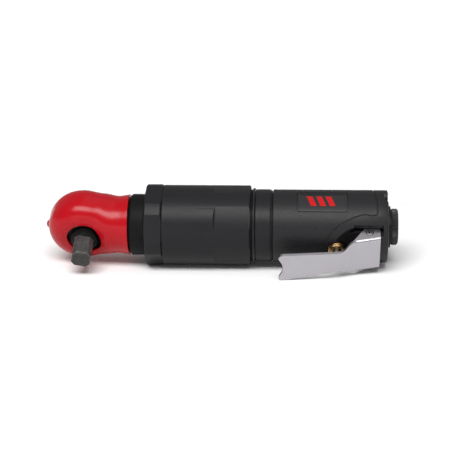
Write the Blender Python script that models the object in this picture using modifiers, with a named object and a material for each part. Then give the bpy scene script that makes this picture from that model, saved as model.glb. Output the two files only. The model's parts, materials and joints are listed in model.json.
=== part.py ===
"""Mini air impact ratchet with a 3/8 in square drive, lying on its side as on a bench.

The tool is designed in its own frame, in millimetres: X runs along the barrel from the drive axis (x = 0)
to the air inlet, the square drive points along -Z, and the throttle lever is on the same side.
An empty then lays the tool down on its clamp nut and the lower front corner of the lever.
"""

from math import asin, atan2, cos, hypot, pi, radians, sin

import bmesh
import bpy
from mathutils import Matrix, Vector

MM = 0.001
GAP = 0.3                    # running and fitting clearance between neighbouring pieces
ROUND = 28                   # facets round the large outer bodies
SMALL = 12                   # facets round shafts, holes and pins
CUTTER_CLOCK = radians(3.1)  # keeps the corners of round cutters off the facet lines of what they cut
BARREL_CLOCK = radians(5.1)  # turns the barrel's facets so that one of them lies towards the bench

# ratchet head, about the drive axis
HEAD_R = 17.3                # red boot, seen along the drive
HEAD_X = -1.4                # its centre, a little in front of the drive axis
HEAD_DRIVE_SIDE = 11.0       # from the barrel axis to the face with the square drive
HEAD_KNOB_SIDE = 13.3        # and to the face with the knob
HEAD_DRIVE_ROUND = 9.0       # rounding of the edge on each side
HEAD_KNOB_ROUND = 11.5
BOOT_WALL = 2.0
DRIVE_HOLE_R = 8.7
KNOB_HOLE_R = 8.2
NECK_R = 14.2
BOOT_END = 21.95
NOSE_TIP = -20.1
SQUARE = 9.53                # 3/8 in
DRIVE_TIP = -26.0
DRIVE_TURN = radians(12.0)   # the square's turn about its own axis at rest
YOKE_R = 10.8
YOKE_HALF = 5.1
CRANK_THROW = 1.0
PAWL_X = -5.3                # pawl pin, beside the drive axis
BALL_Z = -20.6               # detent ball, along the square

# barrel, stations along X
SHOULDER = (22.4, 31.6)
SHOULDER_R = 15.25
NUT = (29.9, 39.05)
NUT_R = 20.2
NUT_FLAT = 18.9
NUT_CLOCK = radians(25.5)
CASE = (39.25, 82.65)
CASE_R = 19.9
CASE_FLAT = 18.94
CASE_FLAT_START = 65.25
CASE_CLOCK = radians(8.9)
CASE_BORE = 16.5
RING = (85.3, 92.5)
RING_R = 18.05
GRIP = (93.75, 150.25)
GRIP_R = 18.0
GRIP_BORE = 16.5
BORE_END = 120.1
BOSS = (150.5, 151.7)
BOSS_R = 10.35
INLET = (151.95, 155.4)
INLET_R = 9.0
INLET_DROP = -0.3            # the inlet sits this far to the lever side of the barrel axis
HAMMER_PIN = 12.2            # hammer pins, from the barrel axis
MOTOR_PIN = (0, -14.2)       # alignment pin through the motor's end plates
BADGE_TILT = radians(4.0)    # the badge faces this far round from the tool's side

# throttle lever and valve
LEVER_FRONT = 97.0
LEVER_REAR = 146.2
LEVER_FRONT_HEIGHT = 31.0    # outer face from the barrel axis
LEVER_FRONT_HALF = 8.1
LEVER_SHEET = 1.5
PIVOT_X = 141.1
PIVOT_Z = -15.5
VALVE_X = 125.2

# rest: the nut's rim and the lever's lower front corner both touch the bench
LEVER_REACH = hypot(LEVER_FRONT_HEIGHT, LEVER_FRONT_HALF)
DRIVE_DIP = asin(NUT_R / LEVER_REACH) - atan2(LEVER_FRONT_HALF, LEVER_FRONT_HEIGHT)
ROLL = DRIVE_DIP - pi / 2

FACING = {"X": (pi / 2, 0, pi / 2), "Y": (pi / 2, 0, 0), "Z": (0, 0, 0)}
TURNING = {"X": (0, pi / 2, 0), "Y": (-pi / 2, 0, 0), "Z": (0, 0, 0)}

for old in list(bpy.data.objects):
    bpy.data.objects.remove(old, do_unlink=True)

parts = bpy.data.collections.new("air_impact_ratchet")
cutters = bpy.data.collections.new("cutters")
bpy.context.scene.collection.children.link(parts)
bpy.context.scene.collection.children.link(cutters)

tool = bpy.data.objects.new("tool_frame", None)
parts.objects.link(tool)


def finish_material(name, colour, metallic, roughness):
    """One Principled material for one sort of finish."""
    material = bpy.data.materials.new(name)
    material.use_nodes = True
    shader = material.node_tree.nodes["Principled BSDF"]
    shader.inputs["Base Color"].default_value = (*colour, 1.0)
    shader.inputs["Metallic"].default_value = metallic
    shader.inputs["Roughness"].default_value = roughness
    return material


RED_BOOT = finish_material("red_boot", (0.60, 0.006, 0.012), 0.0, 0.25)
BLACK_STEEL = finish_material("black_steel", (0.030, 0.030, 0.033), 0.6, 0.42)
BLACK_DRIVE = finish_material("black_drive", (0.035, 0.035, 0.036), 0.8, 0.38)
BLACK_GRIP = finish_material("black_grip", (0.026, 0.026, 0.029), 0.0, 0.55)
NICKEL = finish_material("nickel", (0.62, 0.61, 0.63), 1.0, 0.28)
BRASS = finish_material("brass", (0.62, 0.42, 0.15), 1.0, 0.30)
STEEL = finish_material("steel", (0.45, 0.45, 0.46), 1.0, 0.35)
BEARING = finish_material("bearing", (0.60, 0.60, 0.62), 1.0, 0.22)
ALLOY = finish_material("alloy", (0.55, 0.56, 0.57), 1.0, 0.45)
RUBBER = finish_material("rubber", (0.015, 0.015, 0.016), 0.0, 0.45)
VANE = finish_material("vane", (0.16, 0.07, 0.03), 0.0, 0.6)
FELT = finish_material("felt", (0.35, 0.33, 0.30), 0.0, 0.95)
BADGE = finish_material("badge", (0.020, 0.020, 0.022), 0.0, 0.35)


def place(name, mesh, finish, at, turn):
    """Link a mesh as a part, or as a cutter where it has no finish, under the tool's frame."""
    piece = bpy.data.objects.new(name, mesh)
    piece.parent = tool
    piece.location = Vector(at) * MM
    piece.rotation_euler = turn
    if finish:
        parts.objects.link(piece)
        mesh.materials.append(finish)
    else:
        cutters.objects.link(piece)
        piece.hide_render = True
        piece.display_type = "WIRE"
    return piece


def from_bmesh(name, shape, finish, at=(0, 0, 0), turn=(0, 0, 0)):
    """Turn a finished bmesh into an object, smooth but for its real edges."""
    mesh = bpy.data.meshes.new(name)
    shape.to_mesh(mesh)
    shape.free()
    mesh.shade_smooth()
    mesh.set_sharp_from_angle(angle=radians(35))
    return place(name, mesh, finish, at, turn)


def turned(name, outer, inner, finish, at=(0, 0, 0), along="X", facets=ROUND):
    """A turned piece: (station, radius) down the outside and back up the inside, in the tool's frame."""
    start = at["XYZ".index(along)]
    profile = list(reversed(outer)) + list(inner)
    mesh = bpy.data.meshes.new(name)
    clock = BARREL_CLOCK if along == "X" else 0
    points = [
        (radius * cos(clock) * MM, radius * sin(clock) * MM, (station - start) * MM)
        for station, radius in profile
    ]
    edges = [(i, i + 1) for i in range(len(points) - 1)]
    if profile[0][1] > 0:
        edges.append((len(points) - 1, 0))
    mesh.from_pydata(points, edges, [])
    piece = place(name, mesh, finish, at, TURNING[along])
    spin = piece.modifiers.new("turn", "SCREW")
    spin.steps = facets
    spin.render_steps = facets
    spin.use_merge_vertices = True
    spin.merge_threshold = 0.00001
    return piece


def rod(name, radius, span, finish=None, at=(0, 0), along="X", facets=SMALL):
    """A plain cylinder over a span of one axis, centred at the other two coordinates."""
    low, high = span
    shape = bmesh.new()
    bmesh.ops.create_cone(
        shape, cap_ends=True, segments=facets, radius1=radius * MM, radius2=radius * MM,
        depth=(high - low) * MM, matrix=Matrix.Rotation(0 if finish else CUTTER_CLOCK, 4, "Z"),
    )
    centre = list(at)
    centre.insert("XYZ".index(along), (low + high) / 2)
    return from_bmesh(name, shape, finish, centre, TURNING[along])


def block(name, low, high, finish=None, turn=(0, 0, 0), pivot=None):
    """A box between two corners, turned about a pivot in the tool's frame."""
    size = Vector(high) - Vector(low)
    centre = (Vector(high) + Vector(low)) / 2
    pivot = centre if pivot is None else Vector(pivot)
    stretch = Matrix.Diagonal((size * MM).to_4d())
    shape = bmesh.new()
    bmesh.ops.create_cube(shape, size=1.0, matrix=Matrix.Translation((centre - pivot) * MM) @ stretch)
    return from_bmesh(name, shape, finish, pivot, turn)


def plate(name, loops, half, finish, at=(0, 0, 0), facing="Z"):
    """A flat outline, with any holes as further loops, extruded half its thickness each way."""
    curve = bpy.data.curves.new(name, "CURVE")
    curve.dimensions = "2D"
    curve.fill_mode = "BOTH"
    curve.extrude = half * MM
    for loop in loops:
        line = curve.splines.new("POLY")
        line.points.add(len(loop) - 1)
        line.use_cyclic_u = True
        for point, (u, v) in zip(line.points, loop):
            point.co = (u * MM, v * MM, 0, 1)
    guide = bpy.data.objects.new(name + "_outline", curve)
    cutters.objects.link(guide)
    bpy.context.view_layer.update()
    mesh = bpy.data.meshes.new_from_object(guide.evaluated_get(bpy.context.evaluated_depsgraph_get()))
    bpy.data.objects.remove(guide)
    shape = bmesh.new()
    shape.from_mesh(mesh)
    bmesh.ops.remove_doubles(shape, verts=shape.verts, dist=0.000001)
    bmesh.ops.recalc_face_normals(shape, faces=shape.faces)
    return from_bmesh(name, shape, finish, at, FACING[facing])


def arc(centre, radius, start, end, steps):
    """Points on an arc, angles in degrees, both ends included."""
    return [
        (
            centre[0] + radius * cos(radians(start + (end - start) * i / steps)),
            centre[1] + radius * sin(radians(start + (end - start) * i / steps)),
        )
        for i in range(steps + 1)
    ]


def combine(piece, others, operation="DIFFERENCE"):
    """Cut the others out of a piece, or join or intersect them with it, in order."""
    for other in others:
        step = piece.modifiers.new(other.name, "BOOLEAN")
        step.operation = operation
        step.solver = "EXACT"
        step.object = other
    return piece


def around(centre, radius, angle):
    """A point at an angle from the drive direction, +Y side positive, on a circle round the barrel."""
    return (centre[0] + radius * sin(angle), centre[1] - radius * cos(angle))


def hexagon(flat, clock):
    """A hexagon by the distance to its flats, its first flat at an angle from the drive direction."""
    corner = flat / cos(pi / 6)
    return [around((0, 0), corner, clock + pi / 6 + i * pi / 3) for i in range(6)]


def head_profile(skin=0.0, steps=4):
    """The head's rounded disc about Z, drive side to knob side, at a depth under the boot's surface."""
    sides = []
    for face, rounding in ((HEAD_DRIVE_SIDE, HEAD_DRIVE_ROUND), (HEAD_KNOB_SIDE, HEAD_KNOB_ROUND)):
        bend = rounding - skin
        sides.append([
            (
                face - rounding + bend * cos(pi / 2 * i / steps),
                HEAD_R - rounding + bend * sin(pi / 2 * i / steps),
            )
            for i in range(steps + 1)
        ])
    lower = [(-station, radius) for station, radius in sides[0]]
    upper = list(reversed(sides[1]))
    return [(skin - HEAD_DRIVE_SIDE, 0)] + lower + upper + [(HEAD_KNOB_SIDE - skin, 0)]


# ---- ratchet head -------------------------------------------------------------------------------------


def head_boot():
    """Moulded red boot, stretched over the steel head, open for the drive, the knob and the barrel."""
    centre = (HEAD_X, 0, 0)
    boot = turned("head_boot", head_profile(), [], RED_BOOT, at=centre, along="Z", facets=24)
    neck = turned(
        "boot_neck",
        [(3, 0), (3, 10.6), (7.5, 13.1), (11.3, 14.3), (16, NECK_R), (18.5, NECK_R + 0.1),
         (BOOT_END, NECK_R + 0.85), (BOOT_END, 0)],
        [], None,
    )
    shoulders = turned(
        "boot_shoulders",
        [(0, 0), (0, 16.0), (4, 16.2), (8, 15.8), (12, 14.8), (16, 13.9), (16, 0)],
        [], None,
    )
    shoulders.scale = (0.62, 1, 1)
    nose = turned(
        "boot_nose",
        [(-14, 0), (-14, 3.6), (-18.0, 3.6), (-19.1, 2.0), (NOSE_TIP, 1.2), (NOSE_TIP, 0)],
        [], None, facets=SMALL,
    )
    hollow = turned("boot_hollow", head_profile(BOOT_WALL), [], None, at=centre, along="Z", facets=24)
    neck_hollow = rod("boot_neck_hollow", NECK_R - 1.6, (3, BOOT_END + 1), None, facets=ROUND)
    drive_hole = rod("boot_drive_hole", DRIVE_HOLE_R, (-20, -5), None, along="Z", facets=24)
    knob_hole = rod("boot_knob_hole", KNOB_HOLE_R, (5, 20), None, along="Z", facets=24)
    combine(boot, [neck, shoulders, nose], "UNION")
    combine(boot, [hollow, neck_hollow, drive_hole, knob_hole])


def ratchet_head():
    """Forged steel head: a cavity for the yoke, a neck for the crank, a shoulder and the nut's flange."""
    head = turned(
        "ratchet_head", head_profile(BOOT_WALL + GAP), [], BLACK_STEEL,
        at=(HEAD_X, 0, 0), along="Z", facets=24,
    )
    neck_r = NECK_R - 1.6 - GAP
    neck = turned(
        "head_neck",
        [
            (4, 0), (4, neck_r), (SHOULDER[0], neck_r), (SHOULDER[0], SHOULDER_R - 1.2),
            (SHOULDER[0] + 1.2, SHOULDER_R), (SHOULDER[1], SHOULDER_R), (SHOULDER[1], 16.9),
            (33.6, 16.9), (33.6, 14.0), (44.0, 14.0), (44.0, 0),
        ],
        [], None,
    )
    bore = rod("head_bore", YOKE_R + GAP, (-6.3, 20), None, along="Z", facets=24)
    drive_hole = rod("head_drive_hole", 8.6, (-20, 0), None, along="Z", facets=24)
    swing = block("head_swing_room", (6, -9.4, -5.0), (16.6, 9.4, 5.0))
    crank_bore = rod("head_crank_bore", 9.0, (15.6, 45), None, facets=24)
    combine(head, [neck], "UNION")
    combine(head, [bore, drive_hole, swing, crank_bore])


def yoke():
    """Internal ratchet ring that the crank rocks, with two prongs either side of the drive bushing."""
    teeth = 24
    outer = arc((0, 0), YOKE_R, 0, 360 - 360 / teeth, teeth - 1)
    inner = [
        (r * cos(a), r * sin(a))
        for i in range(teeth)
        for a, r in ((2 * pi * i / teeth, 8.0), (2 * pi * (i + 0.5) / teeth, 8.6))
    ]
    ring = plate("yoke", [outer, inner], YOKE_HALF, STEEL)
    prongs = [
        block("yoke_prong_1", (9.2, -7.4, -4), (16, -4.8, 4)),
        block("yoke_prong_2", (9.2, 4.8, -4), (16, 7.4, 4)),
    ]
    combine(ring, prongs, "UNION")


def head_stack():
    """Washers either side of the yoke, the cover plate and the snap ring that hold it in the head."""
    turned("thrust_washer_lower", [(-6.0, YOKE_R), (-5.4, YOKE_R)], [(-6.0, 8.7), (-5.4, 8.7)], BEARING,
           along="Z", facets=24)
    turned("thrust_washer_upper", [(5.4, YOKE_R), (6.0, YOKE_R)], [(5.4, 8.7), (6.0, 8.7)], BEARING,
           along="Z", facets=24)
    turned("retaining_plate", [(6.3, YOKE_R), (7.4, YOKE_R)], [(6.3, 6.3), (7.4, 6.3)], STEEL,
           along="Z", facets=24)
    opening = 25
    ring = arc((0, 0), YOKE_R, opening, 360 - opening, 20) + arc((0, 0), 9.5, 360 - opening, opening, 20)
    plate("retaining_ring", [ring], 0.3, STEEL, at=(0, 0, 8.0))


def square_drive():
    """Drive body inside the yoke, with the pawl's pocket, the knob's bore and the 3/8 in square."""
    body = turned(
        "square_drive",
        [
            (-13.6, 0), (-13.6, 5.4), (-12.6, 6.6), (-9.4, 6.6), (-9.0, 8.3), (-YOKE_HALF, 8.3),
            (-YOKE_HALF, 7.6), (YOKE_HALF, 7.6), (YOKE_HALF, 6.0), (8.2, 6.0), (8.2, 0),
        ],
        [], BLACK_DRIVE, along="Z", facets=24,
    )
    shape = bmesh.new()
    length = -13.0 - DRIVE_TIP
    stretch = Matrix.Diagonal((SQUARE * MM, SQUARE * MM, length * MM, 1.0))
    bmesh.ops.create_cube(shape, size=1.0, matrix=stretch)
    upright = [e for e in shape.edges if abs(e.verts[0].co.z - e.verts[1].co.z) > 0.5 * length * MM]
    bmesh.ops.bevel(shape, geom=upright, offset=1.5 * MM, segments=1, profile=0.5, affect="EDGES")
    tip = [e for e in shape.edges if e.verts[0].co.z < 0 and e.verts[1].co.z < 0]
    bmesh.ops.bevel(shape, geom=tip, offset=0.8 * MM, segments=1, profile=0.5, affect="EDGES")
    square = from_bmesh("drive_square", shape, None, (0, 0, DRIVE_TIP + length / 2), (0, 0, DRIVE_TURN))
    ball_hole = block(
        "drive_ball_hole", (-1.6, 0.4, BALL_Z - 1.6), (1.6, 6.0, BALL_Z + 1.6), None,
        (0, 0, DRIVE_TURN), (0, 0, 0),
    )
    knob_bore = rod("drive_knob_bore", 3.3, (-2.6, 9), None, along="Z")
    pocket = block("drive_pawl_pocket", (-9, -4.0, -4.0), (-2.0, 4.0, 4.0))
    pin_hole = rod("drive_pin_hole", 1.1, (-5.2, 5.0), None, at=(PAWL_X, 0), along="Z", facets=12)
    combine(body, [square], "UNION")
    combine(body, [ball_hole, knob_bore, pocket, pin_hole])


def detent():
    """Sprung ball in one face of the square, which grips the socket."""
    direction = Vector((-sin(DRIVE_TURN), cos(DRIVE_TURN), 0))
    middle = Vector((0, 0, BALL_Z))
    shape = bmesh.new()
    bmesh.ops.create_uvsphere(shape, u_segments=12, v_segments=8, radius=1.25 * MM)
    from_bmesh("detent_ball", shape, BEARING, middle + direction * 4.05)
    coil("detent_spring", 0.95, 0.16, 1.2, 3, middle + direction * 0.75, direction, STEEL, 8)


def coil(name, radius, wire, length, turns, start, direction, finish, per_turn=10):
    """A compression spring: one wire wound along a direction."""
    curve = bpy.data.curves.new(name, "CURVE")
    curve.dimensions = "3D"
    curve.bevel_depth = wire * MM
    curve.bevel_resolution = 0
    curve.use_fill_caps = True
    line = curve.splines.new("POLY")
    count = turns * per_turn + 1
    line.points.add(count - 1)
    turn = Vector((0, 0, 1)).rotation_difference(Vector(direction)).to_matrix()
    for i, point in enumerate(line.points):
        angle = 2 * pi * i / per_turn
        spot = turn @ Vector((radius * cos(angle), radius * sin(angle), length * i / (count - 1)))
        point.co = (*(spot * MM), 1)
    guide = bpy.data.objects.new(name + "_wire", curve)
    cutters.objects.link(guide)
    bpy.context.view_layer.update()
    mesh = bpy.data.meshes.new_from_object(guide.evaluated_get(bpy.context.evaluated_depsgraph_get()))
    bpy.data.objects.remove(guide)
    shape = bmesh.new()
    shape.from_mesh(mesh)
    bmesh.ops.remove_doubles(shape, verts=shape.verts, dist=0.000001)
    bmesh.ops.recalc_face_normals(shape, faces=shape.faces)
    return from_bmesh(name, shape, finish, start)


def pawl():
    """Rocking pawl with a tooth at each end, on its pin in the drive body."""
    outline = [
        (-1.75, -3.0), (0.7, -2.2), (1.35, 0), (0.7, 2.2), (-1.75, 3.0), (-1.3, 1.6), (-1.5, 0),
        (-1.3, -1.6),
    ]
    body = plate("pawl", [outline], 3.7, STEEL, at=(PAWL_X, 0, 0))
    hole = rod("pawl_pin_hole", 0.95, (-5, 5), None, at=(PAWL_X, 0), along="Z", facets=12)
    combine(body, [hole])
    rod("pawl_pin", 0.7, (-5.0, 4.9), BEARING, at=(PAWL_X, 0), along="Z", facets=10)


def reverse_knob():
    """Knob on the back of the head, its stem down the drive, and the sprung plunger that tips the pawl."""
    knob = turned(
        "reverse_knob",
        [(-2.2, 0), (-2.2, 3.0), (8.7, 3.0), (8.7, 7.2), (9.2, 7.6), (13.0, 7.6), (13.6, 7.0), (13.6, 0)],
        [], BLACK_DRIVE, along="Z", facets=24,
    )
    grip = block("knob_grip", (-7.0, -1.9, 12.5), (7.0, 1.9, 15.0))
    hole = rod("knob_plunger_hole", 1.0, (-4.0, 1.6), None, along="X", facets=10)
    combine(knob, [grip], "UNION")
    combine(knob, [hole])
    rod("reverse_plunger", 0.7, (-3.2, -1.6), BEARING, along="X", facets=10)
    coil("reverse_spring", 0.5, 0.13, 2.4, 4, (-1.3, 0, 0), (1, 0, 0), STEEL, 8)


def crank():
    """Crankshaft: eccentric pin for the yoke in front, anvil lobes for the hammers behind."""
    shaft = turned(
        "crankshaft",
        [
            (16.9, 0), (16.9, 6.0), (20.0, 6.0), (20.0, 5.7), (52.0, 5.7), (52.0, 6.2), (71.0, 6.2),
            (71.0, 0),
        ],
        [], STEEL, facets=24,
    )
    pin = rod("crank_pin", 1.8, (11.8, 18), None, at=(0, CRANK_THROW))
    lobe_front = block("anvil_lobe_1", (57.3, -8.1, -1.8), (63.5, -2, 1.8))
    lobe_rear = block("anvil_lobe_2", (64.6, 2, -1.8), (70.6, 8.1, 1.8))
    combine(shaft, [pin, lobe_front, lobe_rear], "UNION")
    turned(
        "drive_bushing",
        [(12.0, 2.9), (12.6, 3.2), (15.2, 3.2), (15.8, 2.9)], [(12.0, 2.1), (15.8, 2.1)],
        BEARING, at=(0, 0, CRANK_THROW), facets=SMALL,
    )
    turned("crank_bearing", [(21.5, 8.7), (33.5, 8.7)], [(21.5, 6.0), (33.5, 6.0)], BEARING, facets=24)


# ---- hammer case --------------------------------------------------------------------------------------


def clamp_nut():
    """Hexagonal nut that draws the head's flange onto the hammer case."""
    front, rear = NUT
    nut = turned(
        "clamp_nut",
        [(front, 15.9), (front + 1.1, NUT_R), (rear - 0.5, NUT_R), (rear, NUT_R - 0.5)],
        [(front, SHOULDER_R + GAP), (31.3, SHOULDER_R + GAP), (31.3, 17.3), (rear, 17.3)],
        BLACK_STEEL,
    )
    hexagonal = plate(
        "nut_hexagon", [hexagon(NUT_FLAT, NUT_CLOCK)], 10, None, at=((front + rear) / 2, 0, 0), facing="X"
    )
    combine(nut, [hexagonal], "INTERSECT")


def hammer_case():
    """Machined case round the hammers: a spigot in front, wrench flats and an inner thread behind."""
    front, rear = CASE
    case = turned(
        "hammer_case",
        [
            (33.9, 17.0), (front, 17.0), (front, CASE_R - 0.3), (front + 0.3, CASE_R),
            (rear - 0.8, CASE_R), (rear - 0.25, CASE_R - 0.25), (rear, CASE_R - 0.8),
        ],
        [(33.9, 14.3), (46.0, 14.3), (46.0, CASE_BORE), (75.7, CASE_BORE), (75.7, 17.2), (rear, 17.2)],
        BLACK_STEEL,
    )
    flats = []
    for i in range(6):
        angle = CASE_CLOCK + i * pi / 3
        flats.append(block(
            "case_flat_" + str(i + 1), (CASE_FLAT_START, -8, -CASE_FLAT - 4), (rear + 2, 8, -CASE_FLAT),
            None, (angle, 0, 0), (CASE_FLAT_START, 0, 0),
        ))
    combine(case, flats)


def hammers():
    """Cage driven by the rotor, and two ring hammers that rock on pins in it."""
    cage = turned(
        "hammer_cage",
        [(52.5, 15.2), (53.1, 15.8), (74.9, 15.8), (75.5, 15.2), (75.5, 8.2), (81.0, 8.2)],
        [(52.5, 6.8), (71.5, 6.8), (71.5, 4.9), (81.0, 4.9)], STEEL,
    )
    window = block("cage_window", (56.5, -13.6, -20), (71.5, 13.6, 20))
    holes = [
        rod("cage_pin_hole_1", 2.0, (53.9, 74.1), None, at=(0, HAMMER_PIN), facets=12),
        rod("cage_pin_hole_2", 2.0, (53.9, 74.1), None, at=(0, -HAMMER_PIN), facets=12),
    ]
    combine(cage, [window] + holes)
    for number, span, side in ((1, (56.9, 63.9), 1), (2, (64.2, 71.2), -1)):
        label = str(number)
        pin_z = side * HAMMER_PIN
        rod("hammer_pin_" + label, 1.7, (54.2, 73.8), BEARING, at=(0, pin_z), facets=12)
        low, high = span
        middle = (low + high) / 2
        hammer = rod("hammer_" + label, 14.6, span, STEEL, facets=24)
        hammer.location.z = pin_z * MM
        hammer.data.transform(Matrix.Translation((pin_z * MM, 0, 0)))
        waist = plate(
            "hammer_waist_" + label,
            [hammer_outline()], (high - low) / 2 + 1, None, at=(middle, 0, 0), facing="X",
        )
        opening = rod("hammer_opening_" + label, 9.4, (low - 1, high + 1), None, facets=20)
        lug_y = side * 8.5
        lug = block("hammer_lug_" + label, (low + 0.5, lug_y - 1.1, -1.6), (high - 0.5, lug_y + 1.1, 1.6))
        own_hole = rod("hammer_hole_" + label, 2.0, (low - 1, high + 1), None, at=(0, pin_z), facets=12)
        notch_z = -pin_z - side * 2.0
        notch = block("hammer_notch_" + label, (low - 1, -3.9, notch_z - 4), (high + 1, 3.9, notch_z + 4))
        combine(hammer, [waist], "INTERSECT")
        combine(hammer, [opening])
        combine(hammer, [lug], "UNION")
        combine(hammer, [own_hole, notch])


def hammer_outline():
    """Round ring with a wide boss at the top and bottom, for its own pin and round the other one."""
    ring_r = 12.4
    boss = 6.5
    side = arc((0, 0), ring_r, -56, 56, 8)
    return (
        side + [(boss, 12.0), (boss, 16), (-boss, 16), (-boss, 12.0)]
        + [(-y, -z) for y, z in side] + [(-boss, -12.0), (-boss, -16), (boss, -16), (boss, -12.0)]
    )


def coupling():
    """Threaded ring that joins the hammer case to the motor housing, with the O-ring that seals it."""
    turned(
        "coupling_ring",
        [
            (76.0, 16.9), (82.95, 16.9), (82.95, GRIP_R), (83.25, GRIP_R), (83.25, 16.9),
            (RING[0], 16.9), (RING[0], RING_R), (RING[1], RING_R), (RING[1], 17.4), (93.45, 17.4),
            (93.45, 16.2), (95.0, 16.2),
        ],
        [(76.0, 14.5), (95.0, 14.5)], BLACK_STEEL,
    )
    section = arc((84.3, 17.95), 0.72, 180, 0, 3)
    turned("case_o_ring", section, arc((84.3, 17.95), 0.72, 180, 360, 3)[1:-1], RUBBER)


# ---- motor --------------------------------------------------------------------------------------------


def motor():
    """Vane motor: end plates with their bearings, eccentric cylinder, slotted rotor and five vanes."""
    front = turned(
        "front_end_plate",
        [(95.3, 16.1), (99.3, 16.1)],
        [(95.3, 8.1), (98.2, 8.1), (98.2, 4.9), (99.3, 4.9)],
        ALLOY,
    )
    turned("front_bearing", [(95.5, 7.8), (97.9, 7.8)], [(95.5, 4.3), (97.9, 4.3)], BEARING, facets=20)
    cylinder = turned("motor_cylinder", [(99.6, 0), (99.6, 16.1), (116.0, 16.1), (116.0, 0)], [], STEEL)
    chamber = rod("cylinder_bore", 12.9, (99, 117), None, at=(0, 1.0), facets=ROUND)
    exhaust = block("cylinder_exhaust", (104, 9, -2), (112, 20, 2))
    rear = turned(
        "rear_end_plate",
        [(116.3, 16.1), (119.8, 16.1)],
        [(116.3, 3.4), (117.0, 3.4), (117.0, 6.8), (119.8, 6.8)],
        ALLOY,
    )
    turned("rear_bearing", [(117.3, 6.5), (119.6, 6.5)], [(117.3, 3.3), (119.6, 3.3)], BEARING, facets=20)
    rod("alignment_pin", 0.9, (95.8, 119.4), BEARING, at=MOTOR_PIN, facets=10)
    pin_holes = [
        rod("pin_hole_" + str(i + 1), 1.2, (95.6, 119.6), None, at=MOTOR_PIN, facets=10) for i in range(3)
    ]
    air_port = rod("plate_air_port", 1.6, (115, 121), None, at=(0, -10), facets=10)
    combine(cylinder, [chamber, exhaust, pin_holes[0]])
    combine(front, [pin_holes[1]])
    combine(rear, [pin_holes[2], air_port])

    rotor = turned(
        "rotor",
        [
            (72.2, 0), (72.2, 4.4), (81.8, 4.4), (81.8, 4.0), (99.9, 4.0), (99.9, 11.5), (115.7, 11.5),
            (115.7, 3.0), (119.4, 3.0), (119.4, 0),
        ],
        [], STEEL, facets=30,
    )
    for i in range(5):
        label = str(i + 1)
        turn = (2 * pi * i / 5, 0, 0)
        slot = block("rotor_slot_" + label, (99, -0.95, 6.2), (117, 0.95, 13), None, turn, (99, 0, 0))
        combine(rotor, [slot])
        block("vane_" + label, (100.1, -0.65, 6.6), (115.5, 0.65, 11.4), VANE, turn, (107.8, 0, 0))


# ---- motor housing ------------------------------------------------------------------------------------


def motor_housing():
    """Moulded grip over the motor: valve bore, inlet bore, the lever's pockets, exhaust and badge."""
    front, rear = GRIP
    grip = turned(
        "motor_housing",
        [
            (front, GRIP_R - 0.3), (front + 0.3, GRIP_R), (rear - 0.5, GRIP_R), (rear, GRIP_R - 0.5),
            (rear, 0),
        ],
        [(front, GRIP_BORE), (BORE_END, GRIP_BORE), (BORE_END, 0)], BLACK_GRIP,
    )
    boss = rod("grip_lever_boss", 3.0, (-8.0, 8.0), None, at=(PIVOT_X, PIVOT_Z), along="Y", facets=16)
    boss_root = block("grip_boss_root", (PIVOT_X - 2.95, -8.0, PIVOT_Z), (PIVOT_X + 2.95, 8.0, -12.6))
    combine(grip, [boss, boss_root], "UNION")

    inlet_bore = rod("grip_inlet_bore", 8.1, (135.5, rear + 1), None, at=(0, INLET_DROP), facets=24)
    feed = rod("grip_feed", 3.2, (VALVE_X, 136), None, at=(0, INLET_DROP), facets=12)
    chamber = rod("grip_valve_chamber", 5.0, (-6.0, 9.0), None, at=(VALVE_X, 0), along="Z")
    valve_bore = rod("grip_valve_bore", 4.6, (-25, -5.5), None, at=(VALVE_X, 0), along="Z")
    motor_feed = rod("grip_motor_feed", 1.6, (BORE_END - 1, VALVE_X), None, at=(0, -10), facets=10)
    pin_hole = rod("grip_pin_hole", 1.9, (-12, 12), None, at=(PIVOT_X, PIVOT_Z), along="Y", facets=12)
    combine(grip, [inlet_bore, feed, chamber, valve_bore, motor_feed, pin_hole])

    hollow = [
        (117.9, -22), (120.4, -19.6), (123.9, -17.4), (127.9, -15.5), (131.8, -14.1), (135.4, -13.5),
        (137.2, -13.45), (137.2, -22),
    ]
    combine(grip, [plate("valve_hollow", [hollow], 20, None, facing="Y")])
    for side in (-1, 1):
        tag = "left" if side < 0 else "right"
        inner, outer = sorted((8.2 * side, 20 * side))
        ledge = block("pocket_ledge_" + tag, (133.2, inner, -20), (147.9, outer, -13.4))
        inner, outer = sorted((8.2 * side, 10.5 * side))
        slot = block("pocket_slot_" + tag, (131.5, inner - 0.01, -20), (147.6, outer, -10.6))
        combine(grip, [ledge, slot])

    recess = turned("badge_recess", [(105.5, 19.5), (130.5, 19.5)], [(105.5, 17.2), (130.5, 17.2)], None)
    tilt = (BADGE_TILT, 0, 0)
    middle = (100, 0, 0)
    recess_wedge = block("badge_recess_wedge", (100, -25, -6.7), (135, 0, 6.7), None, tilt, middle)
    combine(recess, [recess_wedge], "INTERSECT")
    badge = turned("badge_plate", [(105.9, 17.8), (130.1, 17.8)], [(105.9, 17.45), (130.1, 17.45)], BADGE)
    badge_wedge = block("badge_wedge", (100, -25, -6.3), (135, 0, 6.3), None, tilt, middle)
    combine(badge, [badge_wedge], "INTERSECT")

    muffler_room = plate("muffler_room", [sector(10.8, 14.8, 35)], 8.5, None, (143.0, 0, 0), "X")
    exhaust = rod("grip_exhaust", 1.8, (BORE_END - 1, 136), None, at=(0, 13.0), facets=10)
    scallops = [
        rod("rear_scallop_" + str(i + 1), 5.0, span, None, at=(rear + 3.0, 2.2), along="Y", facets=24)
        for i, span in enumerate(((-20, -13.5), (13.5, 20)))
    ]
    combine(grip, [recess, muffler_room, exhaust] + scallops)
    plate("muffler", [sector(11.1, 14.5, 33)], 6.0, FELT, (142.0, 0, 0), "X")


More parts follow.
